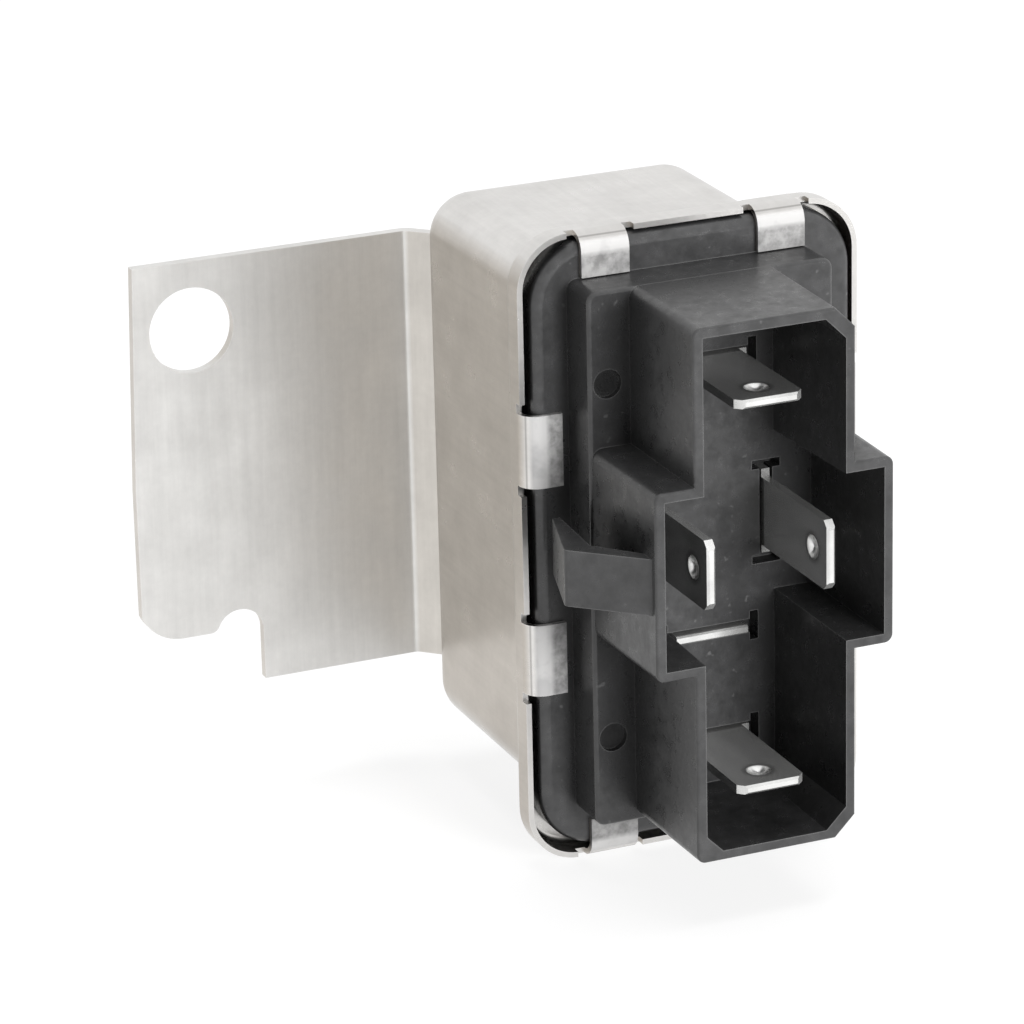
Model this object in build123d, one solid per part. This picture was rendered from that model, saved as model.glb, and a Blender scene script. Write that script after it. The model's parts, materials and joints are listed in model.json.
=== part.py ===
from build123d import *
import math
import os

# Metal can relay with a cross-shaped plug socket and a fixing flange.
# X is to the right when looking into the socket, Z is up and the socket opens towards -Y.
# Pieces are drawn from the can's centre line, with "forward" meaning the distance in front of
# the rim's edge. At the end all are moved so that the origin is the fixing hole's centre,
# on the flange's rear face.

# How far a cut runs on past the faces that it opens
overrun = 1.0

# Can, one drawn shell with a wider stepped rim and eight crimp tabs
can_sheet = 0.5
body_width = 26.8
body_height = 50.8
body_corner = 4.0
body_back_round = 3.0
can_depth = 28.5
rim_ledge_side = 2.8
rim_ledge_end = 3.62
rim_shift = 0.25
rim_drop = 0.35
rim_corner = 4.9
rim_depth = 3.0
step_bend = 0.6
end_tab_width = 4.5
end_tab_offset = 8.35
end_tab_reach = 3.87
side_tab_width = 6.6
side_tab_offset = 9.65
side_tab_reach = 3.55
tab_bend = 1.2
tab_root = 1.5
tab_notch_width = 0.9
tab_notch_depth = 0.75

# Fixing flange, one folded sheet welded to the can's back
flange_sheet = 1.0
flange_width = 27.25
flange_height = 41.1
flange_rise = 0.45
flange_lean = 1.75
flange_set_back = 2.35
flange_bend = 0.8
flange_joggle = 45.0
leg_width = 17.0
leg_inset = 0.8
leg_corner = 2.1
hole_diameter = 8.0
hole_from_side = 6.0
hole_from_top = 6.45
lobe_width = 7.2
lobe_height = 35.8
lobe_corner = 4.2
relief_radius = 2.25
relief_rise = 1.9
relief_blend = 0.9
weld_diameter = 4.5
weld_depth = 0.15
weld_pitch_x = 8.5
weld_pitch_z = 24.0

# Header, one moulding: crimped flange plate, platform, cross-shaped shroud and lock lug
plate_gap = 0.45
plate_shift = 0.4
plate_drop = 0.15
plate_corner = 5.6
plate_proud = 0.55
plate_edge_round = 1.0
gasket_thickness = 0.5
gasket_overlap = 0.2
gasket_inset = 0.4
header_rise = 0.3
platform_narrower = 3.6
platform_shorter = 1.6
platform_rise = 0.1
platform_front = 5.0
platform_corner = 1.0
platform_round = 0.35
shroud_wall = 0.9
shroud_front = 17.45
shroud_edge_round = 0.25
bar_width = 15.1
bar_shorter = 0.8
arm_narrower = 0.8
arm_height = 17.05
arm_rise = 1.7
socket_floor = 3.8
socket_draft = 1.0
shroud_draft = 0.8
right_chamfer = 1.9
low_left_chamfer = 1.5
outer_round = 0.8
ejector_diameter = 2.6
ejector_depth = 0.6
ejector_inset = 1.75
ejector_offset = 16.3
core_out_width = 2.2
core_out_wall = 1.6
core_out_end = 2.5
lug_height = 5.1
lug_reach = 5.7
lug_front_back = 0.3
lug_tip_back = 6.2
lug_tip_width = 2.4
lug_end_back = 13.7
lug_end_reach = 3.5
lug_end_width = 0.7
lug_wall = 1.5
lug_tip_round = 0.5

# Blade terminals, stamped from one strip
blade_width = 6.3
blade_sheet = 0.8
blade_recess = 0.75
blade_tip_cut = 0.75
blade_tip_bevel = 0.2
dimple_diameter = 2.3
dimple_depth = 0.28
dimple_from_tip = 2.9
side_blade_offset = 5.65
top_blade_inset = 7.6
low_blade_inset = 5.7
spare_drop = 10.5
spare_proud = 0.8
spare_width = 6.9
spare_bevel = 0.15
spare_neck_back = 1.2
shoulder_width = 7.8
shoulder_depth = 1.5
shoulder_sink = 0.1
neck_width = 5.0
slot_gap = 0.22
fit_gap = 0.1
slot_notch_width = 0.8
slot_notch_height = 2.7
coil_tail_width = 3.0
coil_tail_length = 5.0

# Electromagnet
yoke_sheet = 1.6
yoke_width = 14.0
yoke_rivet_drop = 3.4
yoke_rivet_inset = 1.9
coil_above_can = 15.4
bobbin_flange_diameter = 17.6
bobbin_flange = 1.2
bobbin_wall = 0.7
winding_diameter = 16.4
core_diameter = 7.0
core_root_diameter = 5.5
pole_diameter = 10.0
pole_thickness = 1.0
yoke_clearance = 0.4
pole_to_can = 6.5
core_end_gap = 0.05
air_gap_closed = 0.1
bobbin_bore_gap = 0.1
lead_diameter = 0.6

# Armature with its contact leaf, hinged on the yoke's rear edge
armature_sheet = 1.5
armature_reach = 11.0
armature_tail = 3.1
armature_travel = 3.0
hinge_nib_width = 2.0
hinge_nib_length = 1.9
hinge_gap = 0.3
leaf_sheet = 0.3
leaf_width = 5.0
leaf_start = 2.0
leaf_past = 2.2
leaf_corner = 1.0
leaf_rivet_inset = 2.0
leaf_rivet_pitch = 3.2
leaf_rivet_diameter = 2.0
leaf_rivet_head = 3.0
leaf_rivet_rise = 0.5
contact_drop = 5.9
contact_diameter = 3.8
contact_thickness = 0.9
contact_round = 0.3
contact_shank = 1.8
contact_peen = 0.4
contact_peen_diameter = 2.4
contact_gap_closed = 0.05
residual_diameter = 2.0

# Fixed parts round the armature
contact_arm_width = 5.0
contact_arm_past = 2.4
stop_sheet = 0.8
stop_width = 4.0
stop_from_top = 4.0
stop_lap = 1.0
stop_foot = 3.2
stop_gap = 0.1
rivet_diameter = 2.0
rivet_head_diameter = 3.4
rivet_depth = 3.6
rivet_end_gap = 0.2
spring_diameter = 2.6
spring_wire = 0.45
spring_pitch = 0.95
spring_seat_gap = 0.25
spring_ear_width = 4.0
spring_ear_back = 8.5

# Places that follow from the sizes above
rim_width = body_width + 2 * rim_ledge_side
rim_height = body_height + 2 * rim_ledge_end
platform_width = body_width - platform_narrower
platform_height = body_height - platform_shorter
bar_height = platform_height - bar_shorter
arm_width = platform_width - arm_narrower
rim_step_front = can_sheet - rim_depth
plate_back = rim_step_front + gasket_thickness
plate_width = rim_width - 2 * (can_sheet + plate_gap)
plate_height = rim_height - 2 * (can_sheet + plate_gap)
flange_front = -can_depth - flange_set_back
flange_rear = flange_front - flange_sheet
joggle_run = flange_set_back / math.tan(math.radians(flange_joggle))
bend_x = -body_width / 2 + body_back_round - leg_inset - joggle_run
flange_left = bend_x - flange_width
hole_x = flange_left + hole_from_side
flange_top = flange_rise + flange_height / 2
flange_low = flange_rise - flange_height / 2
lobe_low = flange_top - lobe_height
hole_z = flange_top - hole_from_top
arm_z = header_rise + arm_rise
top_blade_z = header_rise + bar_height / 2 - top_blade_inset
low_blade_z = header_rise - bar_height / 2 + low_blade_inset
spare_z = arm_z - spare_drop
blade_front = shroud_front - blade_recess
shoulder_front = socket_floor - shoulder_sink
shoulder_back = shoulder_front - shoulder_depth
coil_z = coil_above_can - body_height / 2
yoke_top = coil_z + bobbin_flange_diameter / 2
yoke_inner = coil_z - bobbin_flange_diameter / 2 - yoke_clearance
yoke_outer = yoke_inner - yoke_sheet
yoke_rear = plate_back - yoke_sheet
pole_rear = pole_to_can - can_depth
bobbin_rear = pole_rear + pole_thickness
armature_front = pole_rear - air_gap_closed
armature_rear = armature_front - armature_sheet
leaf_rear = armature_rear - leaf_sheet
hinge_forward = armature_front + air_gap_closed / 2
hinge_z = yoke_outer
armature_top = coil_z + armature_reach
leaf_low = coil_z + leaf_start
contact_height = top_blade_z - contact_drop
leaf_high = contact_height + leaf_past
contact_arm_end = contact_height - contact_arm_past
stop_height = body_height / 2 - stop_from_top
stop_end = leaf_high - stop_lap
contact_face = armature_rear + contact_thickness
fixed_face = contact_face + contact_gap_closed
arm_rear = fixed_face + contact_thickness
leaf_swing = (leaf_high - hinge_z) * math.sin(math.radians(armature_travel))
stop_face = leaf_rear - leaf_swing - stop_gap


def face_at(forward):
    """Sketch plane parallel to the header: its first axis is X and its second is Z."""
    return Plane.XZ.offset(forward)


def prism(outline, back, front):
    """Outline seen from the front, made solid between two forward values."""
    return extrude(face_at(back) * outline, front - back)


def block(x_span, forward_span, z_span):
    """Box between two X, two forward and two Z values."""
    sizes = [abs(span[1] - span[0]) for span in (x_span, forward_span, z_span)]
    middles = [(span[0] + span[1]) / 2 for span in (x_span, forward_span, z_span)]
    return Pos(middles[0], -middles[1], middles[2]) * Box(*sizes)


def rod(diameter, back, front, x=0.0, z=0.0):
    """Round bar that runs front to back."""
    return prism(Pos(x, z) * Circle(diameter / 2), back, front)


def corner(sketch, x, z):
    """The sketch's vertex nearest to a point."""
    return sketch.vertices().sort_by_distance(Vector(x, z, 0))[0]


def edges_at(solid, forward):
    """Edges that lie in the plane at one forward value."""
    return solid.edges().filter_by(lambda e: abs(e.bounding_box().min.Y + forward) < 1e-4
                                   and abs(e.bounding_box().max.Y + forward) < 1e-4)


# Can

def drawn_shape(width, height, corner_radius, back, front, back_round):
    """Rounded oblong drawn backwards, with its back edges rounded."""
    solid = prism(RectangleRounded(width, height, corner_radius), back, front)
    return fillet(edges_at(solid, back), back_round)


def crimp_tab(width, reach):
    """Tab folded over the header. Local x runs inward from the rim's outer face, y forward."""
    outer_bend = tab_bend + can_sheet
    flat = plate_proud
    bend_start = flat - tab_bend
    root = bend_start - tab_root
    top = flat + can_sheet
    outline = Polyline((outer_bend, top), (reach, top), (reach, flat), (outer_bend, flat))
    outline += RadiusArc((outer_bend, flat), (can_sheet, bend_start), -tab_bend)
    outline += Polyline((can_sheet, bend_start), (can_sheet, root), (0, root), (0, bend_start))
    outline += RadiusArc((0, bend_start), (outer_bend, top), outer_bend)
    return extrude(make_face(outline), width / 2, both=True)


def rim_places():
    """Origin and inward direction of each tab on the rim, with the tab's width and reach."""
    for side in (-1, 1):
        for z in (-side_tab_offset, side_tab_offset):
            yield (rim_shift + side * rim_width / 2, z), (-side, 0), side_tab_width, side_tab_reach
        for x in (-end_tab_offset, end_tab_offset):
            yield (rim_shift + x, side * rim_height / 2 - rim_drop), (0, -side), end_tab_width, end_tab_reach


def make_can():
    body = drawn_shape(body_width, body_height, body_corner, -can_depth, -rim_depth, body_back_round)
    rim_centre = Pos(rim_shift, -rim_drop)
    rim = prism(rim_centre * RectangleRounded(rim_width, rim_height, rim_corner), -rim_depth, 0)
    rim = fillet(edges_at(rim, -rim_depth), step_bend + can_sheet)
    hollow = drawn_shape(body_width - 2 * can_sheet, body_height - 2 * can_sheet, body_corner - can_sheet,
                         can_sheet - can_depth, 0, body_back_round - can_sheet)
    seat = RectangleRounded(rim_width - 2 * can_sheet, rim_height - 2 * can_sheet, rim_corner - can_sheet)
    seat = prism(rim_centre * seat, rim_step_front, 0)
    seat = fillet(edges_at(seat, rim_step_front), step_bend)
    shell = body + rim - hollow - seat
    for (x, z), (in_x, in_z), width, reach in rim_places():
        inward = Vector(in_x, 0, in_z)
        forward = Vector(0, -1, 0)
        plane = Plane(origin=(x, 0, z), x_dir=inward, z_dir=inward.cross(forward))
        notch_span = width + 2 * tab_notch_width
        notch = Box(2 * can_sheet, tab_notch_depth, notch_span)
        notch = plane * Pos(can_sheet / 2, -tab_notch_depth / 2, 0) * notch
        shell = shell - notch + plane * crimp_tab(width, reach)
    return shell


# Fixing flange

def flange_outline(right):
    """Flange and leg seen from the front: leaning free edge, lobe with the hole and round relief."""
    lean = math.tan(math.radians(flange_lean))
    relief_x = flange_left + lobe_width + relief_radius
    relief_z = lobe_low + relief_rise - relief_radius
    outline = make_face(Polyline(
        (flange_left + lean * flange_top, flange_top), (right, flange_top), (right, flange_low),
        (relief_x, flange_low), (relief_x, lobe_low), (flange_left + lean * lobe_low, lobe_low), close=True))
    relief = Pos(0, (flange_low - relief_z) / 2) * Rectangle(2 * relief_radius, relief_z - flange_low)
    outline -= Pos(relief_x, relief_z) * (Circle(relief_radius) + relief)
    outline = fillet(corner(outline, flange_left + lean * lobe_low, lobe_low), lobe_corner)
    outline = fillet(corner(outline, relief_x - relief_radius, lobe_low), relief_blend)
    return fillet([corner(outline, right, z) for z in (flange_low, flange_top)], leg_corner)


def make_flange():
    """Flat flange beside the can, joggled forward to a leg welded on the can's back."""
    middle = flange_sheet / 2
    shift = middle * math.tan(math.radians(flange_joggle / 2))
    leg_start = bend_x + joggle_run
    path = FilletPolyline(
        (flange_left, -(flange_front - middle)),
        (bend_x - shift, -(flange_front - middle)),
        (leg_start - shift, can_depth + middle),
        (leg_start + leg_width, can_depth + middle),
        radius=flange_bend + middle)
    sheet = extrude(trace(path, flange_sheet), flange_height, both=True)
    leg_right = leg_start + leg_width
    sheet &= prism(flange_outline(leg_right), flange_rear - flange_sheet, flange_sheet - can_depth)
    sheet -= rod(hole_diameter, flange_rear - overrun, flange_front + overrun, hole_x, hole_z)
    leg_rear = -can_depth - flange_sheet
    for x in (-weld_pitch_x / 2, weld_pitch_x / 2):
        for z in (-weld_pitch_z / 2, weld_pitch_z / 2):
            weld_x = leg_start + leg_width / 2 + x
            sheet -= rod(weld_diameter, leg_rear - overrun, leg_rear + weld_depth, weld_x, z + flange_rise)
    return sheet


# Header

def cross_outline(inset):
    """Outline of the shroud: an upright bar and a wider cross arm, inset all round."""
    bar_w = bar_width - 2 * inset
    bar_h = bar_height - 2 * inset
    arm_w = arm_width - 2 * inset
    arm_h = arm_height - 2 * inset
    outline = Pos(0, header_rise) * Rectangle(bar_w, bar_h) + Pos(0, arm_z) * Rectangle(arm_w, arm_h)
    top = header_rise + bar_h / 2
    low = header_rise - bar_h / 2
    outline = chamfer([corner(outline, bar_w / 2, top), corner(outline, bar_w / 2, low)], right_chamfer)
    if inset == 0:
        rounded = [corner(outline, -bar_w / 2, top), corner(outline, -bar_w / 2, low),
                   *[corner(outline, side * arm_w / 2, arm_z + end * arm_h / 2)
                     for side in (-1, 1) for end in (-1, 1)]]
        return fillet(rounded, outer_round)
    return chamfer(corner(outline, -bar_w / 2, low), low_left_chamfer)


def blade_slot(x, z, upright, through):
    """Dog-bone slot for one terminal, with a shoulder seat and a narrow way through."""
    long_way = shoulder_width + 2 * fit_gap
    seat = Rectangle(long_way, blade_sheet + 2 * slot_gap)
    notch = Rectangle(slot_notch_width, slot_notch_height)
    for side in (-1, 1):
        seat += Pos(side * (long_way + slot_notch_width) / 2, 0) * notch
    way = Rectangle(neck_width + 2 * fit_gap, blade_sheet + 2 * fit_gap)
    turn = Pos(x, z) * Rot(0, 0, 90 if upright else 0)
    slot = prism(turn * seat, shoulder_back, socket_floor + overrun)
    return slot + prism(turn * way, through, socket_floor)


def terminal_places():
    """X, Z and whether the blade stands upright, for the four live terminals."""
    return {
        "top": (0.0, top_blade_z, False),
        "low": (0.0, low_blade_z, False),
        "left": (-side_blade_offset, arm_z, True),
        "right": (side_blade_offset, arm_z, True),
    }


def lock_lug():
    """Barbed finger that runs out from the left arm's front edge and back along its side."""
    side = -arm_width / 2
    root = side + shroud_wall / 2
    tip = side - lug_reach
    end = side - lug_end_reach
    front = shroud_front - lug_front_back
    tip_f = shroud_front - lug_tip_back
    end_f = shroud_front - lug_end_back
    points = [(root, -front), (tip, -tip_f), (end, -end_f), (end + lug_end_width, -end_f),
              (tip + lug_tip_width, -tip_f), (root, -(front - lug_wall))]
    outline = make_face(Polyline(*points, close=True))
    lug = Pos(0, 0, arm_z) * extrude(outline, lug_height / 2, both=True)
    upright = lug.edges().filter_by(Axis.Z)
    tip_edge = upright.sort_by_distance(Vector(tip, -tip_f, arm_z))[0]
    return fillet(tip_edge, lug_tip_round)


def plate_outline(inset):
    """The crimped plate seen from the front, a little off the can's centre, inset all round."""
    plate = RectangleRounded(plate_width - 2 * inset, plate_height - 2 * inset, plate_corner - inset)
    return Pos(plate_shift, -plate_drop) * plate


def make_header():
    plate = prism(plate_outline(0), plate_back, plate_proud)
    plate = fillet(edges_at(plate, plate_proud), plate_edge_round)
    platform = Pos(0, platform_rise) * RectangleRounded(platform_width, platform_height, platform_corner)
    platform = prism(platform, plate_back, platform_front)
    platform = fillet(edges_at(platform, platform_front), platform_round)
    mouth = face_at(shroud_front) * cross_outline(0)
    shroud = extrude(mouth, platform_front - overrun - shroud_front, taper=-shroud_draft)
    shroud = fillet(edges_at(shroud, shroud_front), shroud_edge_round)
    header = plate + platform + shroud + lock_lug()
    depth = shroud_front - socket_floor
    pocket = extrude(face_at(shroud_front) * cross_outline(shroud_wall), -depth, taper=socket_draft)
    header -= pocket
    for x, z, upright in terminal_places().values():
        header -= blade_slot(x, z, upright, plate_back - overrun)
    header -= blade_slot(0, spare_z, False, plate_back + spare_neck_back - 2 * fit_gap)
    for side in (-1, 1):
        for end in (-1, 1):
            x = side * (platform_width / 2 - ejector_inset)
            z = platform_rise + end * ejector_offset
            header -= rod(ejector_diameter, platform_front - ejector_depth, platform_front + overrun, x, z)
    header -= core_outs()
    for x, z in rivet_places():
        header -= rod(rivet_diameter, plate_back - overrun, plate_back + rivet_depth, x, z)
    return header


def core_outs():
    """Pockets moulded into the back beside the socket, to keep the walls even."""
    pockets = None
    outer = platform_width / 2 - core_out_wall
    inner = outer - core_out_width
    below = (platform_rise - platform_height / 2 + core_out_end, arm_z - arm_height / 2 - core_out_wall)
    above = (arm_z + arm_height / 2 + core_out_wall, platform_rise + platform_height / 2 - core_out_end)
    for side in (-1, 1):
        for low, high in (below, above):
            depth_span = (plate_back - overrun, platform_front - core_out_wall)
            pocket = block((side * inner, side * outer), depth_span, (low, high))
            pockets = pocket if pockets is None else pockets + pocket
    return pockets


def make_gasket():
    inner = RectangleRounded(body_width - 2 * (can_sheet - gasket_overlap),
                             body_height - 2 * (can_sheet - gasket_overlap), body_corner)
    return prism(plate_outline(gasket_inset) - inner, rim_step_front, plate_back)


# Terminals

def strip_shape(width, back, front):
    """Flat outline of one stretch of a terminal, with Y as the forward distance."""
    return Pos(0, (back + front) / 2) * Rectangle(width, front - back)


def blade(x, z, upright, tail_end, tail_width):
    """Blade with cut tip corners, a detent dimple on both faces, shoulders, neck and tail."""
    tip = blade_front
    outline = strip_shape(blade_width, shoulder_back, tip)
    outline = chamfer(outline.vertices().group_by(Axis.Y)[-1], blade_tip_cut)
    outline += strip_shape(shoulder_width, shoulder_back, shoulder_front)
    outline += strip_shape(neck_width, plate_back, shoulder_back)
    outline += strip_shape(tail_width, tail_end, plate_back)
    flat = Plane(origin=(0, 0, 0), x_dir=(1, 0, 0), z_dir=(0, 0, -1))
    strip = extrude(flat * outline, blade_sheet / 2, both=True)
    strip = chamfer(edges_at(strip, tip).filter_by(Axis.X), blade_tip_bevel)
    bowl_radius = (dimple_diameter ** 2 / 4 + dimple_depth ** 2) / (2 * dimple_depth)
    lift = blade_sheet / 2 - dimple_depth + bowl_radius
    for face in (-1, 1):
        strip -= Pos(0, -(tip - dimple_from_tip), face * lift) * Sphere(bowl_radius)
    return Pos(x, 0, z) * Rot(0, 90 if upright else 0, 0) * strip


def make_output_terminal():
    """Top blade, whose tail runs back through the can and turns down to carry a contact."""
    x, z, upright = terminal_places()["top"]
    terminal = blade(x, z, upright, arm_rear, contact_arm_width)
    half = blade_sheet / 2
    end = block((-contact_arm_width / 2, contact_arm_width / 2), (arm_rear, arm_rear + blade_sheet),
                (contact_arm_end, z + half))
    terminal = terminal + end
    outer_bend = terminal.edges().filter_by(Axis.X).sort_by_distance(Vector(0, -arm_rear, z + half))[0]
    terminal = fillet(outer_bend, blade_sheet)
    arm_front = arm_rear + blade_sheet
    return terminal - rod(contact_shank, arm_rear - overrun, arm_front + overrun, 0, contact_height)


def make_spare_terminal():
    """Unused position: the strip is cut off just above the socket's floor."""
    sheet_span = (spare_z - blade_sheet / 2, spare_z + blade_sheet / 2)
    front = socket_floor + spare_proud
    seat = block((-spare_width / 2, spare_width / 2), (shoulder_back, front), sheet_span)
    seat = chamfer(edges_at(seat, front).filter_by(Axis.X), spare_bevel)
    neck_span = (plate_back + spare_neck_back, shoulder_back)
    return seat + block((-neck_width / 2, neck_width / 2), neck_span, sheet_span)


# Electromagnet

def make_yoke():
    half = yoke_width / 2
    base = block((-half, half), (plate_back, yoke_rear), (yoke_outer, yoke_top))
    leg = block((-half, half), (plate_back, pole_rear), (yoke_outer, yoke_inner))
    yoke = base + leg
    for side in (-1, 1):
        nib_span = (side * half, side * (half - hinge_nib_width))
        yoke += block(nib_span, (pole_rear, pole_rear - hinge_nib_length), (yoke_outer, yoke_inner))
    outer = yoke.edges().filter_by(Axis.X).sort_by_distance(Vector(0, -plate_back, yoke_outer))[0]
    yoke = fillet(outer, yoke_sheet)
    ear_rear = -spring_ear_back - yoke_sheet / 2
    yoke += block((-spring_ear_width / 2, spring_ear_width / 2), (-spring_ear_back, ear_rear),
                  (yoke_outer - armature_tail, yoke_inner))
    yoke -= rod(core_root_diameter, yoke_rear - overrun, plate_back + overrun, 0, coil_z)
    window = blade_sheet + 2 * fit_gap
    yoke -= block((-neck_width / 2 - fit_gap, neck_width / 2 + fit_gap),
                  (plate_back + overrun, yoke_rear - overrun),
                  (low_blade_z - window / 2, low_blade_z + window / 2))
    for x, z in rivet_places()[:2]:
        yoke -= rod(rivet_diameter, yoke_rear - overrun, plate_back + overrun, x, z)
        yoke -= rivet_head(x, z, yoke_rear)
    return yoke


def rivet_places():
    """Two rivets hold the yoke and one holds the armature's stop."""
    yoke_rivet_z = yoke_top - yoke_rivet_drop
    yoke_rivet_x = yoke_width / 2 - yoke_rivet_inset
    stop_rivet_z = stop_height - stop_sheet / 2 - stop_foot / 2
    return [(-yoke_rivet_x, yoke_rivet_z), (yoke_rivet_x, yoke_rivet_z), (0.0, stop_rivet_z)]


def rivet_head(x, z, rear):
    """Flush countersunk head whose flat is at the rear."""
    rise = (rivet_head_diameter - rivet_diameter) / 2
    return Pos(x, -rear, z) * Rot(90, 0, 0) * Cone(
        rivet_head_diameter / 2, rivet_diameter / 2, rise, align=(Align.CENTER, Align.CENTER, Align.MIN))


def make_rivets():
    group = None
    rears = [yoke_rear, yoke_rear, plate_back - stop_sheet]
    for (x, z), rear in zip(rivet_places(), rears):
        shank = rod(rivet_diameter, rear, plate_back + rivet_depth - rivet_end_gap, x, z)
        rivet = shank + rivet_head(x, z, rear)
        group = [rivet] if group is None else group + [rivet]
    return Compound(children=group)


def make_core():
    root = rod(core_root_diameter, plate_back - core_end_gap, yoke_rear, 0, coil_z)
    shaft = rod(core_diameter, yoke_rear, bobbin_rear, 0, coil_z)
    pole = rod(pole_diameter, bobbin_rear, pole_rear, 0, coil_z)
    return root + shaft + pole


def make_bobbin():
    barrel = core_diameter + 2 * (bobbin_bore_gap + bobbin_wall)
    bobbin = rod(barrel, bobbin_rear, yoke_rear, 0, coil_z)
    bobbin += rod(bobbin_flange_diameter, yoke_rear - bobbin_flange, yoke_rear, 0, coil_z)
    bobbin += rod(bobbin_flange_diameter, bobbin_rear, bobbin_rear + bobbin_flange, 0, coil_z)
    bore = core_diameter + 2 * bobbin_bore_gap
    return bobbin - rod(bore, bobbin_rear - overrun, yoke_rear + overrun, 0, coil_z)


def make_winding():
    barrel = core_diameter + 2 * (bobbin_bore_gap + bobbin_wall)
    rear = bobbin_rear + bobbin_flange
    front = yoke_rear - bobbin_flange
    ring = Circle(winding_diameter / 2) - Circle(barrel / 2)
    return prism(Pos(0, coil_z) * ring, rear, front)


def make_coil_lead(side):
    """Wire from the winding's first or last turn up to a coil terminal's tail."""
    x = side * side_blade_offset
    surface = coil_z + math.sqrt((winding_diameter / 2) ** 2 - (abs(x) - lead_diameter / 2) ** 2)
    top = arm_z - coil_tail_width / 2
    forward = plate_back - coil_tail_length + lead_diameter
    wire = Pos(x, -forward, (surface + top) / 2) * Cylinder(lead_diameter / 2, top - surface)
    return wire


# Armature, drawn closed against the pole and then swung open

def opened(solid):
    """Swing a closed piece of the armature back by its full travel."""
    hinge = Axis((0, -hinge_forward, hinge_z), (1, 0, 0))
    return solid.rotate(hinge, -armature_travel)


def make_armature():
    half = yoke_width / 2
    through = (armature_rear - overrun, armature_front + overrun)
    plate = block((-half, half), (armature_rear, armature_front), (yoke_outer - armature_tail, armature_top))
    for side in (-1, 1):
        notch = (side * (half + overrun), side * (half - hinge_nib_width - hinge_gap))
        plate -= block(notch, through, (yoke_outer - hinge_gap, yoke_inner + hinge_gap))
    for z in leaf_rivet_heights():
        plate -= rod(leaf_rivet_diameter, *through, 0, z)
    plate -= rod(residual_diameter, *through, 0, coil_z)
    return opened(plate)


def leaf_rivet_heights():
    first = armature_top - leaf_rivet_inset
    return (first, first - leaf_rivet_pitch)


def make_leaf():
    half = leaf_width / 2
    leaf = block((-half, half), (leaf_rear, armature_rear), (leaf_low, leaf_high))
    for z in leaf_rivet_heights():
        leaf -= rod(leaf_rivet_diameter, leaf_rear - overrun, armature_rear + overrun, 0, z)
    leaf -= rod(contact_shank, leaf_rear - overrun, armature_rear + overrun, 0, contact_height)
    return opened(fillet(leaf.edges().filter_by(Axis.Y).group_by(Axis.Z)[-1], leaf_corner))


def make_leaf_rivets():
    rivets = []
    for z in leaf_rivet_heights():
        rivet = rod(leaf_rivet_diameter, leaf_rear, armature_front, 0, z)
        rivet += rod(leaf_rivet_head, leaf_rear - leaf_rivet_rise, leaf_rear, 0, z)
        rivets.append(opened(rivet))
    return Compound(children=rivets)


def make_residual_pin():
    """Brass pin that keeps the closed armature a hair off the pole."""
    return opened(rod(residual_diameter, armature_rear, armature_front + air_gap_closed / 2, 0, coil_z))


def contact_rivet(face, seat, back):
    """Contact button: domed face, flat head and a shank peened over behind the strip."""
    step = 1 if face > seat else -1
    head = rod(contact_diameter, min(face, seat), max(face, seat), 0, contact_height)
    head = fillet(edges_at(head, face), contact_round)
    shank = rod(contact_shank, min(seat, back), max(seat, back), 0, contact_height)
    peen_end = back - step * contact_peen
    peen = rod(contact_peen_diameter, min(back, peen_end), max(back, peen_end), 0, contact_height)
    return head + shank + peen


def make_moving_contact():
    return opened(contact_rivet(contact_face, armature_rear, leaf_rear))


def make_fixed_contact():
    return contact_rivet(fixed_face, arm_rear, arm_rear + blade_sheet)


def make_stop():
    """Strip from the header's back that ends behind the leaf and limits its opening."""
    half = stop_width / 2
    top = stop_height + stop_sheet / 2
    low = stop_height - stop_sheet / 2
    foot = block((-half, half), (plate_back, plate_back - stop_sheet), (low - stop_foot, top))
    arm = block((-half, half), (plate_back, stop_face - stop_sheet), (low, top))
    end = block((-half, half), (stop_face, stop_face - stop_sheet), (stop_end, top))
    stop = foot + arm + end
    x, z = rivet_places()[2]
    rear = plate_back - stop_sheet
    return stop - rod(rivet_diameter, rear - overrun, plate_back + overrun, x, z) - rivet_head(x, z, rear)


def make_return_spring():
    """Tension spring below the yoke, from its ear to the armature's tail."""
    front = -spring_ear_back - yoke_sheet / 2 - spring_seat_gap - spring_wire / 2
    rear = armature_front + spring_seat_gap + spring_wire / 2
    radius = (spring_diameter - spring_wire) / 2
    axis_z = yoke_outer - armature_tail / 2
    length = front - rear
    path = Helix(spring_pitch, length, radius)
    wire = sweep(Plane(origin=path @ 0, z_dir=path % 0) * Circle(spring_wire / 2), path=path)
    return Pos(0, -front, axis_z) * Rot(-90, 0, 0) * wire


def make_all():
    places = terminal_places()
    coil_tail_end = plate_back - coil_tail_length
    return {
        "can": make_can(),
        "mounting_flange": make_flange(),
        "header": make_header(),
        "gasket": make_gasket(),
        "output_terminal": make_output_terminal(),
        "supply_terminal": blade(*places["low"], yoke_rear, neck_width),
        "coil_terminal_left": blade(*places["left"], coil_tail_end, coil_tail_width),
        "coil_terminal_right": blade(*places["right"], coil_tail_end, coil_tail_width),
        "spare_terminal": make_spare_terminal(),
        "yoke": make_yoke(),
        "core": make_core(),
        "bobbin": make_bobbin(),
        "winding": make_winding(),
        "coil_lead_left": make_coil_lead(-1),
        "coil_lead_right": make_coil_lead(1),
        "rivets": make_rivets(),
        "armature": make_armature(),
        "contact_leaf": make_leaf(),
        "leaf_rivets": make_leaf_rivets(),
        "residual_pin": make_residual_pin(),
        "moving_contact": make_moving_contact(),
        "fixed_contact": make_fixed_contact(),
        "armature_stop": make_stop(),
        "return_spring": make_return_spring(),
    }


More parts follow.
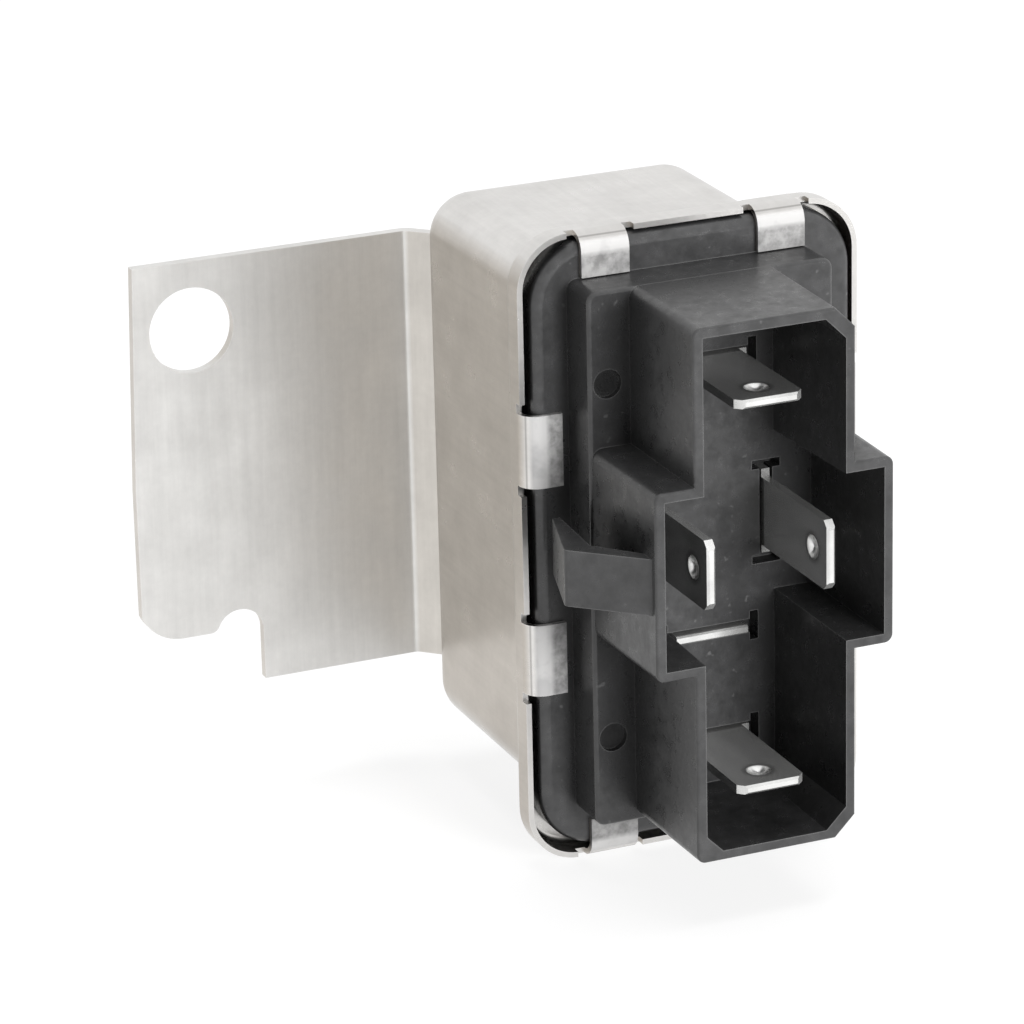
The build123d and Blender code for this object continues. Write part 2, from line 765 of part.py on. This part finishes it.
os.makedirs("parts", exist_ok=True)
to_hole = Pos(-hole_x, flange_rear, -hole_z)
for node, solid in make_all().items():
    export_step(to_hole * solid, f"parts/{node}.step")
print("origin moved by", [round(v, 2) for v in to_hole.position])
print("hinge", round(-hole_x, 3), round(-hinge_forward + flange_rear, 3), round(hinge_z - hole_z, 3))
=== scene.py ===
import json
import math

import bmesh
import bpy
from mathutils import Matrix, Vector


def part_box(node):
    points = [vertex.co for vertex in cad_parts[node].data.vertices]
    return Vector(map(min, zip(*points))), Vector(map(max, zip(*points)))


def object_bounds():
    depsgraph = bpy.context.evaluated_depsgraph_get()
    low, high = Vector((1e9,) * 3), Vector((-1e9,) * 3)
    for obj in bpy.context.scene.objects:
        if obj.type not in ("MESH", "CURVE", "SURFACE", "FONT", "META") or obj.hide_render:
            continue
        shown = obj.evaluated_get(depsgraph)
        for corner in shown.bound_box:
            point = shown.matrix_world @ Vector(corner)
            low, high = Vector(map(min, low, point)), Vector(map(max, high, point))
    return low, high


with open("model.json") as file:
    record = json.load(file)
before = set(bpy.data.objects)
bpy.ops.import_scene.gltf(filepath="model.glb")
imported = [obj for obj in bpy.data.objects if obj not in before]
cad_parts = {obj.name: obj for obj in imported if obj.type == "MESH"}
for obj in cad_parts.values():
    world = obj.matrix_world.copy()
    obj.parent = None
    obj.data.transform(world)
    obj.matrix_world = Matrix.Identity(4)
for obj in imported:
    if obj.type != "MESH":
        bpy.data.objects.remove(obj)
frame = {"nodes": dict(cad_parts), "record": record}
cad_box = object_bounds()

# The relay is dressed in the frame of its solids: metres, Z up, the socket opens towards -Y
mm = 0.001

# The rim's centre is a little to the right of the can's body and below it, and the tabs' faces
# stand in front of the rim's edge
rim_shift = 0.25 * mm
rim_drop = 0.35 * mm
tab_stands = 1.05 * mm


def node_box(node):
    """Lowest corner, middle and highest corner of a node."""
    low, high = (Vector(corner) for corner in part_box(node))
    return low, (low + high) / 2, high


can_low, can_middle, _ = node_box("can")
can_centre = Vector((can_middle.x - rim_shift, can_low.y + tab_stands, can_middle.z + rim_drop))


def place(right, forward, up):
    """Point given from the centre line of the can's body and its rim's front edge."""
    return can_centre + Vector((right, -forward, up))


def opaque(colour):
    """Colour with its alpha, from three parts or one grey value."""
    return (*colour, 1) if isinstance(colour, tuple) else (colour, colour, colour, 1)


# Camera and stage

# The camera looks at a point that is this far across and up the picture from the can's centre
view_azimuth = math.radians(-22.62)
view_elevation = math.radians(19.94)
view_roll = math.radians(1.36)
view_distance = 0.4441
view_across = -15.58 * mm
view_rise = 1.83 * mm
sensor_width = 36.0
focal_in_widths = 4.92676

ambient_light = 0.16
floor_radius = 6.0
floor_drop = 0.6 * mm
floor_paint = 0.22
floor_glow = 0.80
lamp_target = place(-8 * mm, 0, 0)


def make_camera():
    """Camera at the photograph's place, from the fitted angles, distance and focal length."""
    sin_a, cos_a = math.sin(view_azimuth), math.cos(view_azimuth)
    sin_e, cos_e = math.sin(view_elevation), math.cos(view_elevation)
    right = Vector((cos_a, sin_a, 0))
    up = Vector((-sin_a * sin_e, cos_a * sin_e, cos_e))
    back = Vector((sin_a * cos_e, -cos_a * cos_e, sin_e))
    spot = can_centre + right * view_across + up * view_rise + back * view_distance
    cos_r, sin_r = math.cos(view_roll), math.sin(view_roll)
    columns = (right * cos_r - up * sin_r, right * sin_r + up * cos_r, back)
    data = bpy.data.cameras.new("camera")
    data.sensor_width = sensor_width
    data.lens = sensor_width * focal_in_widths
    data.clip_start = 0.01
    data.clip_end = 50.0
    camera = bpy.data.objects.new("camera", data)
    bpy.context.scene.collection.objects.link(camera)
    camera.matrix_world = Matrix.Translation(spot) @ Matrix(columns).transposed().to_4x4()
    bpy.context.scene.camera = camera


def seen_directly(nodes, links):
    """One for camera, glossy and transmission rays, and zero for the rest."""
    path = nodes.new("ShaderNodeLightPath")
    seen = path.outputs["Is Camera Ray"]
    for ray in ("Is Glossy Ray", "Is Transmission Ray"):
        either = nodes.new("ShaderNodeMath")
        either.operation = "MAXIMUM"
        links.new(seen, either.inputs[0])
        links.new(path.outputs[ray], either.inputs[1])
        seen = either.outputs[0]
    return seen


def make_world():
    """White where it is seen or reflected, and a softer ambient light otherwise."""
    world = bpy.data.worlds.new("studio")
    bpy.context.scene.world = world
    world.use_nodes = True
    nodes, links = world.node_tree.nodes, world.node_tree.links
    nodes.clear()
    mix = nodes.new("ShaderNodeMixShader")
    links.new(seen_directly(nodes, links), mix.inputs[0])
    for socket, strength in ((mix.inputs[1], ambient_light), (mix.inputs[2], 1.0)):
        light = nodes.new("ShaderNodeBackground")
        light.inputs["Color"].default_value = opaque(1)
        light.inputs["Strength"].default_value = strength
        links.new(light.outputs[0], socket)
    out = nodes.new("ShaderNodeOutputWorld")
    links.new(mix.outputs[0], out.inputs[0])


def floor_material():
    """Grey paint that takes a shadow, lifted to near white where it is seen or reflected."""
    material = bpy.data.materials.new("floor_white")
    material.use_nodes = True
    nodes, links = material.node_tree.nodes, material.node_tree.links
    nodes.clear()
    paint = nodes.new("ShaderNodeBsdfDiffuse")
    paint.inputs["Color"].default_value = opaque(floor_paint)
    glow = nodes.new("ShaderNodeMath")
    glow.operation = "MULTIPLY"
    glow.inputs[1].default_value = floor_glow
    links.new(seen_directly(nodes, links), glow.inputs[0])
    lift = nodes.new("ShaderNodeEmission")
    links.new(glow.outputs[0], lift.inputs["Strength"])
    both = nodes.new("ShaderNodeAddShader")
    links.new(paint.outputs[0], both.inputs[0])
    links.new(lift.outputs[0], both.inputs[1])
    out = nodes.new("ShaderNodeOutputMaterial")
    links.new(both.outputs[0], out.inputs[0])
    return material


def make_floor():
    """Wide pale floor just under the relay, which keeps its shadow."""
    mesh = bpy.data.meshes.new("floor")
    disc = bmesh.new()
    bmesh.ops.create_circle(disc, cap_ends=True, segments=96, radius=floor_radius)
    disc.to_mesh(mesh)
    disc.free()
    mesh.materials.append(floor_material())
    floor = bpy.data.objects.new("floor", mesh)
    floor.location = (0, 0, cad_box[0][2] - floor_drop)
    bpy.context.scene.collection.objects.link(floor)


def softbox(name, offset, width, height, power):
    """Oblong soft lamp that faces the relay; metal mirrors the white room and not the lamp."""
    data = bpy.data.lights.new(name, "AREA")
    data.shape = "RECTANGLE"
    data.size = width
    data.size_y = height
    data.energy = power
    lamp = bpy.data.objects.new(name, data)
    lamp.location = lamp_target + Vector(offset)
    lamp.visible_camera = False
    lamp.visible_glossy = False
    lamp.rotation_euler = (-Vector(offset)).to_track_quat("-Z", "Y").to_euler()
    bpy.context.scene.collection.objects.link(lamp)


def make_lamps():
    """Three lamps, each with its place from the relay, its width and height, and its power."""
    softbox("lamp_top", (0.10, 0.05, 0.70), 0.5, 0.5, 5.0)
    softbox("lamp_front", (0.25, -0.95, 0.14), 0.4, 0.4, 23.0)
    softbox("lamp_back", (0.35, 0.95, 0.50), 1.6, 0.8, 4.0)


# Materials

class Finish:
    """A node material with its shader and a few shared ways to add detail.

    Values and factors are sockets or plain numbers, and a noise's scale is in cycles a metre.
    """

    def __init__(self, name):
        self.material = bpy.data.materials.new(name)
        self.material.use_nodes = True
        self.nodes = self.material.node_tree.nodes
        self.links = self.material.node_tree.links
        self.nodes.clear()
        self.shader = self.nodes.new("ShaderNodeBsdfPrincipled")
        out = self.nodes.new("ShaderNodeOutputMaterial")
        self.links.new(self.shader.outputs[0], out.inputs["Surface"])
        self.coords = self.nodes.new("ShaderNodeTexCoord").outputs["Object"]
        self.normal = None

    def put(self, socket, value):
        """Feed a socket from another node's output, or set it to a plain number or colour."""
        if isinstance(value, bpy.types.NodeSocket):
            self.links.new(value, socket)
        elif isinstance(socket, bpy.types.NodeSocketColor):
            socket.default_value = opaque(value)
        else:
            socket.default_value = value

    def noise(self, scale, detail=4.0, roughness=0.5):
        """Cloudy noise, with one scale for all axes or a scale for each."""
        mapping = self.nodes.new("ShaderNodeMapping")
        mapping.inputs["Scale"].default_value = scale if isinstance(scale, tuple) else (scale,) * 3
        self.links.new(self.coords, mapping.inputs["Vector"])
        node = self.nodes.new("ShaderNodeTexNoise")
        node.inputs["Scale"].default_value = 1.0
        node.inputs["Detail"].default_value = detail
        node.inputs["Roughness"].default_value = roughness
        self.links.new(mapping.outputs[0], node.inputs["Vector"])
        return node.outputs["Fac"]

    def ramp(self, value, low, high):
        """Colour or grey that goes from one to another, by two pairs of a value and a colour."""
        node = self.nodes.new("ShaderNodeValToRGB")
        for element, (position, colour) in zip(node.color_ramp.elements, (low, high)):
            element.position = position
            element.color = opaque(colour)
        self.links.new(value, node.inputs["Fac"])
        return node.outputs["Color"]

    def blend(self, factor, low, high, mode="MIX"):
        """Mix two colours, or multiply them, by a factor."""
        node = self.nodes.new("ShaderNodeMix")
        node.data_type = "RGBA"
        node.blend_type = mode
        factor_socket, low_socket, high_socket = node.inputs[0], node.inputs[6], node.inputs[7]
        self.put(factor_socket, factor)
        self.put(low_socket, low)
        self.put(high_socket, high)
        return node.outputs[2]

    def shaded(self, colour, shade):
        """Colour times a shade."""
        return self.blend(1.0, colour, shade, "MULTIPLY")

    def math(self, operation, first, second=0.0):
        node = self.nodes.new("ShaderNodeMath")
        node.operation = operation
        self.put(node.inputs[0], first)
        self.put(node.inputs[1], second)
        return node.outputs[0]

    def times(self, first, second):
        return self.math("MULTIPLY", first, second)

    def axis(self, vector, name):
        parts = self.nodes.new("ShaderNodeSeparateXYZ")
        self.links.new(vector, parts.inputs[0])
        return parts.outputs[name]

    def fade(self, value, full, gone):
        """Is 1 where a value is up to the first limit, and falls to 0 at the second."""
        node = self.nodes.new("ShaderNodeMapRange")
        node.inputs["From Min"].default_value = full
        node.inputs["From Max"].default_value = gone
        node.inputs["To Min"].default_value = 1.0
        node.inputs["To Max"].default_value = 0.0
        self.links.new(value, node.inputs["Value"])
        return node.outputs[0]

    def from_point(self, point, operation):
        """Node that finds the offset or the distance of the surface from a point."""
        node = self.nodes.new("ShaderNodeVectorMath")
        node.operation = operation
        node.inputs[1].default_value = point
        self.links.new(self.coords, node.inputs[0])
        return node

    def bump(self, height, strength, depth):
        """Add relief to the surface, on top of any that it has."""
        node = self.nodes.new("ShaderNodeBump")
        node.inputs["Strength"].default_value = strength
        node.inputs["Distance"].default_value = depth
        self.links.new(height, node.inputs["Height"])
        if self.normal is not None:
            self.links.new(self.normal, node.inputs["Normal"])
        self.normal = node.outputs[0]

    def edges(self, radius):
        """Is 1 on edges within a radius, and 0 on open faces."""
        round_normal = self.nodes.new("ShaderNodeBevel")
        round_normal.samples = 6
        round_normal.inputs["Radius"].default_value = radius
        flat_normal = self.nodes.new("ShaderNodeNewGeometry").outputs["Normal"]
        turn = self.nodes.new("ShaderNodeVectorMath")
        turn.operation = "DOT_PRODUCT"
        self.links.new(round_normal.outputs[0], turn.inputs[0])
        self.links.new(flat_normal, turn.inputs[1])
        return self.ramp(turn.outputs["Value"], (0.86, 1.0), (0.985, 0.0))

    def painted_side_shade(self, darkest, start, end):
        """Painted shade: white that turns to the given colour as faces turn to look left or right.
        """
        normal = self.nodes.new("ShaderNodeTexCoord").outputs["Normal"]
        sideways = self.math("ABSOLUTE", self.axis(normal, "X"))
        return self.ramp(sideways, (start, 1.0), (end, darkest))

    def in_front_of(self, forward, band):
        """Is 1 in front of a plane across the relay, and falls to 0 behind it over a band."""
        y = place(0, forward, 0).y
        return self.fade(self.axis(self.coords, "Y"), y, y + band)

    def within(self, centre, half_x, half_z, band):
        """Is 1 inside an oblong across the relay, given by its half sizes, and 0 outside it."""
        offset = self.from_point(centre, "SUBTRACT").outputs[0]
        across = self.math("ABSOLUTE", self.axis(offset, "X"))
        up = self.math("ABSOLUTE", self.axis(offset, "Z"))
        return self.times(self.fade(across, half_x - band, half_x + band),
                          self.fade(up, half_z - band, half_z + band))

    def near(self, points, inner, outer):
        """Is 1 within the inner distance of any point, and 0 beyond the outer one."""
        gaps = [self.from_point(point, "DISTANCE").outputs["Value"] for point in points]
        nearest = gaps[0]
        for gap in gaps[1:]:
            nearest = self.math("MINIMUM", nearest, gap)
        return self.fade(nearest, inner, outer)

    def done(self, colour, roughness, metallic=0.0):
        """Give the shader its colour, gloss and relief, and return the material."""
        self.put(self.shader.inputs["Base Color"], colour)
        self.put(self.shader.inputs["Roughness"], roughness)
        self.put(self.shader.inputs["Metallic"], metallic)
        if self.normal is not None:
            self.links.new(self.normal, self.shader.inputs["Normal"])
        return self.material


# Finishes that are seen from outside

def sheet_metal(name, dark, light, grain, rough, side, side_from, side_to):
    """Cloudy rolled or drawn sheet with faint scratches, painted shade on its sides, and edges
    made brighter by wear and painted highlight.
    """
    finish = Finish(name)
    broad = finish.noise(55, 2.0)
    cloud = finish.noise(230, 4.0, 0.6)
    lines = finish.noise(grain, 5.0, 0.65)
    specks = finish.noise(1600, 2.0)
    colour = finish.ramp(broad, (0.3, dark), (0.7, light))
    for value, weight in ((cloud, 0.93), (lines, 0.93), (specks, 0.97)):
        colour = finish.shaded(colour, finish.ramp(value, (0.32, weight), (0.68, 1.0)))
    # Painted shade: faces that look left or right are darkened towards the side colour
    colour = finish.shaded(colour, finish.painted_side_shade(side, side_from, side_to))
    # Edges made paler, partly as wear and partly as painted highlight
    edge_wear_and_highlight = finish.times(finish.edges(0.25 * mm), 0.3)
    colour = finish.blend(edge_wear_and_highlight, colour, (0.86, 0.85, 0.83))
    roughness = finish.ramp(cloud, (0.3, rough + 0.05), (0.7, rough - 0.04))
    finish.bump(lines, 0.10, 0.03 * mm)
    finish.bump(specks, 0.08, 0.03 * mm)
    return finish, colour, roughness


# How far forward each tab's sheet creases at its bend, how far its flat face starts, and the half
# sizes of the oblong round the rim's centre in which the tabs' tips are scuffed
crease_back = 0.36 * mm
crease_front = 0.50 * mm
tab_face_back = 0.80 * mm
scuffed_half_x = 14.0 * mm
scuffed_half_z = 27.2 * mm


def can_sheet():
    """Can's sheet, with painted shade along each tab's creased bend and a matt, blotched face on
    each tab.
    """
    # The side colour is painted shade on the can's walls that look left or right
    finish, colour, roughness = sheet_metal(
        "can_sheet", dark=(0.725, 0.71, 0.69), light=(0.785, 0.77, 0.75), grain=(1500, 60, 1500),
        rough=0.30, side=(0.68, 0.64, 0.59), side_from=0.78, side_to=0.99)
    blotch = finish.noise(420, 3.0, 0.55)
    dull = finish.ramp(blotch, (0.36, (0.40, 0.395, 0.395)), (0.54, (0.50, 0.495, 0.49)))
    scuff = finish.ramp(finish.noise(800, 4.0, 0.65), (0.38, 0.40), (0.62, 0.72))
    rim_centre = place(rim_shift, 0, -rim_drop)
    tips = finish.within(rim_centre, scuffed_half_x, scuffed_half_z, 0.25 * mm)
    dull = finish.blend(tips, dull, finish.shaded(dull, scuff))
    # Painted shade: a dark line along the bend of each tab
    crease_shade = finish.math("SUBTRACT", finish.in_front_of(crease_back, 0.08 * mm),
                         finish.in_front_of(crease_front, 0.08 * mm))
    colour = finish.blend(finish.times(crease_shade, 0.6), colour, (0.25, 0.24, 0.23))
    pressed = finish.in_front_of(tab_face_back, 0.2 * mm)
    colour = finish.blend(pressed, colour, dull)
    roughness = finish.blend(pressed, roughness, 0.5)
    metallic = finish.math("SUBTRACT", 1.0, finish.times(pressed, 0.65))
    return finish.done(colour, roughness, metallic)


# Four spot welds round the middle of the flange's leg, this far behind its front face
leg_width = 17.0 * mm
weld_pitch_x = 8.5 * mm
weld_pitch_z = 24.0 * mm
weld_behind = 0.9 * mm


def weld_places():
    """Centre of each spot weld; the leg is at the right end of the flange."""
    low, middle, high = node_box("mounting_flange")
    leg_middle = Vector((high.x - leg_width / 2, low.y + weld_behind, middle.z))
    return [leg_middle + Vector((side * weld_pitch_x / 2, 0, level * weld_pitch_z / 2))
            for side in (-1, 1) for level in (-1, 1)]


def flange_sheet():
    """Flange's sheet, with the straw and brown tint that spot welding leaves round its marks."""
    # The side colour is painted shade on the flange's faces that turn sideways, such as its joggle
    finish, colour, roughness = sheet_metal(
        "flange_sheet", dark=(0.77, 0.76, 0.74), light=(0.825, 0.815, 0.795),
        grain=(1200, 1200, 70), rough=0.34, side=(0.78, 0.75, 0.71), side_from=0.30, side_to=0.75)
    welds = weld_places()
    uneven = finish.ramp(finish.noise(500, 3.0), (0.3, 0.6), (0.7, 1.0))
    straw = finish.times(finish.near(welds, 2.3 * mm, 4.2 * mm), 0.5)
    colour = finish.blend(finish.times(straw, uneven), colour, (0.56, 0.45, 0.30))
    brown = finish.times(finish.near(welds, 1.6 * mm, 2.6 * mm), 0.6)
    colour = finish.blend(finish.times(brown, uneven), colour, (0.30, 0.26, 0.24))
    return finish.done(colour, roughness, 1.0)


# Floors of the four ejector marks in the header's platform, painted near black as the shade in
# these recesses
ejector_across = 9.85 * mm
ejector_forward = 4.4 * mm
ejector_levels = (-16.2 * mm, 16.4 * mm)


def header_plastic():
    """Black phenolic moulding: fine grain, specks of dust, edges paler by wear and painted
    highlight, and ejector marks darkened as painted shade.
    """
    finish = Finish("header_moulding")
    grain = finish.noise(2600, 3.0)
    cloud = finish.noise(130)
    specks = finish.noise(1500, 1.0)
    mottle = finish.noise(700, 5.0, 0.65)
    colour = finish.ramp(cloud, (0.3, (0.021, 0.021, 0.0215)), (0.7, (0.034, 0.034, 0.0345)))
    colour = finish.shaded(colour, finish.ramp(mottle, (0.35, 0.6), (0.65, 1.15)))
    dust = finish.ramp(specks, (0.72, 0.0), (0.80, 1.0))
    colour = finish.blend(finish.times(dust, 0.12), colour, 0.32)
    # Edges made paler, partly as wear and partly as painted highlight
    edge_wear_and_highlight = finish.times(finish.edges(0.2 * mm), 0.5)
    colour = finish.blend(edge_wear_and_highlight, colour, 0.14)
    marks = [place(side * ejector_across, ejector_forward, level)
             for side in (-1, 1) for level in ejector_levels]
    # Painted shade: the floors of the ejector marks are darkened to near black
    ejector_shade = finish.times(finish.near(marks, 0.8 * mm, 1.5 * mm), 0.8)
    colour = finish.blend(ejector_shade, colour, 0.004)
    roughness = finish.ramp(mottle, (0.35, 0.40), (0.65, 0.25))
    finish.bump(mottle, 0.15, 0.10 * mm)
    finish.bump(grain, 0.2, 0.05 * mm)
    finish.shader.inputs["Specular IOR Level"].default_value = 0.7
    return finish.done(colour, roughness)


# Each live blade has a detent near its tip
blade_sheet = 0.8 * mm
detent_from_tip = 2.9 * mm
detent_radius = 1.15 * mm


def detent_places():
    """Centre of each blade's detent: two blades lie flat and two stand upright."""
    places = []
    for node in ("output_terminal", "supply_terminal"):
        low, middle, high = node_box(node)
        places.append(Vector((middle.x, low.y + detent_from_tip, high.z - blade_sheet / 2)))
    for node in ("coil_terminal_left", "coil_terminal_right"):
        low, middle, _ = node_box(node)
        places.append(Vector((middle.x, low.y + detent_from_tip, middle.z)))
    return places


def terminal_plating():
    """Bright plated strip with faint drawing lines, and detents pressed to a round cup, with a
    painted highlight in the cup and a painted shade ring round it.
    """
    finish = Finish("terminal_tin")
    lines = finish.noise((300, 90, 300))
    fine = finish.noise((2200, 500, 2200), 2.0)
    colour = finish.ramp(lines, (0.3, (0.55, 0.55, 0.54)), (0.7, (0.80, 0.80, 0.79)))
    detents = detent_places()
    # Painted shade: a dark ring round each detent
    detent_ring_shade = finish.times(finish.near(detents, 1.35 * mm, 1.7 * mm), 0.5)
    colour = finish.blend(detent_ring_shade, colour, 0.15)
    # Painted highlight: each detent's cup is made near white
    cup = finish.near(detents, 1.0 * mm, 1.2 * mm)
    colour = finish.blend(cup, colour, (0.95, 0.95, 0.94))
    roughness = finish.ramp(lines, (0.3, 0.28), (0.7, 0.20))
    roughness = finish.blend(cup, roughness, 0.32)
    finish.bump(fine, 0.08, 0.02 * mm)
    from_centre = finish.math("SUBTRACT", 1.0, finish.near(detents, 0.0, detent_radius))
    finish.bump(finish.math("POWER", from_centre, 1.5), 1.0, 1.1 * mm)
    return finish.done(colour, roughness, 0.8)


# Finishes of the pieces inside

# Darker and lighter colour, roughness, and how metallic each one is
plain_finishes = {
    "gasket_rubber": (0.015, 0.03, 0.8, 0.0),
    "magnet_iron": ((0.38, 0.38, 0.36), (0.55, 0.55, 0.53), 0.4, 1.0),
    "bobbin_nylon": ((0.60, 0.56, 0.45), (0.74, 0.70, 0.58), 0.5, 0.0),
    "rivet_brass": ((0.55, 0.40, 0.18), (0.70, 0.54, 0.26), 0.3, 1.0),
    "leaf_bronze": ((0.52, 0.33, 0.17), (0.66, 0.44, 0.24), 0.3, 1.0),
    "contact_silver": ((0.74, 0.73, 0.70), (0.86, 0.85, 0.82), 0.25, 1.0),
    "stop_steel": ((0.50, 0.50, 0.49), (0.66, 0.66, 0.65), 0.35, 1.0),
    "spring_steel": (0.35, 0.52, 0.3, 1.0),
}


def plain_finish(name, dark, light, rough, metallic):
    """Soft variation between two colours, with fine grain."""
    finish = Finish(name)
    cloud = finish.noise(400, 3.0)
    fine = finish.noise(3000, 2.0)
    colour = finish.ramp(cloud, (0.3, dark), (0.7, light))
    roughness = finish.ramp(cloud, (0.3, rough + 0.08), (0.7, rough - 0.04))
    finish.bump(fine, 0.15, 0.02 * mm)
    return finish.done(colour, roughness, metallic)


def winding_wire():
    """Enamelled wire laid turn by turn along the coil, as fine ridges."""
    finish = Finish("winding_wire")
    wave = finish.nodes.new("ShaderNodeTexWave")
    wave.wave_type = "BANDS"
    wave.bands_direction = "Y"
    wave.inputs["Scale"].default_value = 620
    finish.links.new(finish.coords, wave.inputs["Vector"])
    cloud = finish.noise(500, 3.0)
    colour = finish.ramp(cloud, (0.3, (0.36, 0.12, 0.04)), (0.7, (0.55, 0.22, 0.09)))
    finish.bump(wave.outputs["Fac"], 0.6, 0.06 * mm)
    return finish.done(colour, 0.32, 0.7)


def make_finishes():
    """Material for each slot in the record."""
    finishes = {name: plain_finish(name, *settings) for name, settings in plain_finishes.items()}
    finishes["can_steel"] = can_sheet()
    finishes["flange_steel"] = flange_sheet()
    finishes["header_plastic"] = header_plastic()
    finishes["terminal_tin"] = terminal_plating()
    finishes["winding_copper"] = winding_wire()
    return finishes


def dress_nodes():
    """Put each slot's finish on the solids that the record gives it to."""
    finishes = make_finishes()
    for entry in frame["record"]["subparts"]:
        solid = frame["nodes"][entry["node"]]
        solid.data.materials.clear()
        solid.data.materials.append(finishes[entry["material_slot"]])


bpy.context.scene.view_settings.view_transform = "Standard"
make_camera()
make_world()
make_floor()
make_lamps()
dress_nodes()
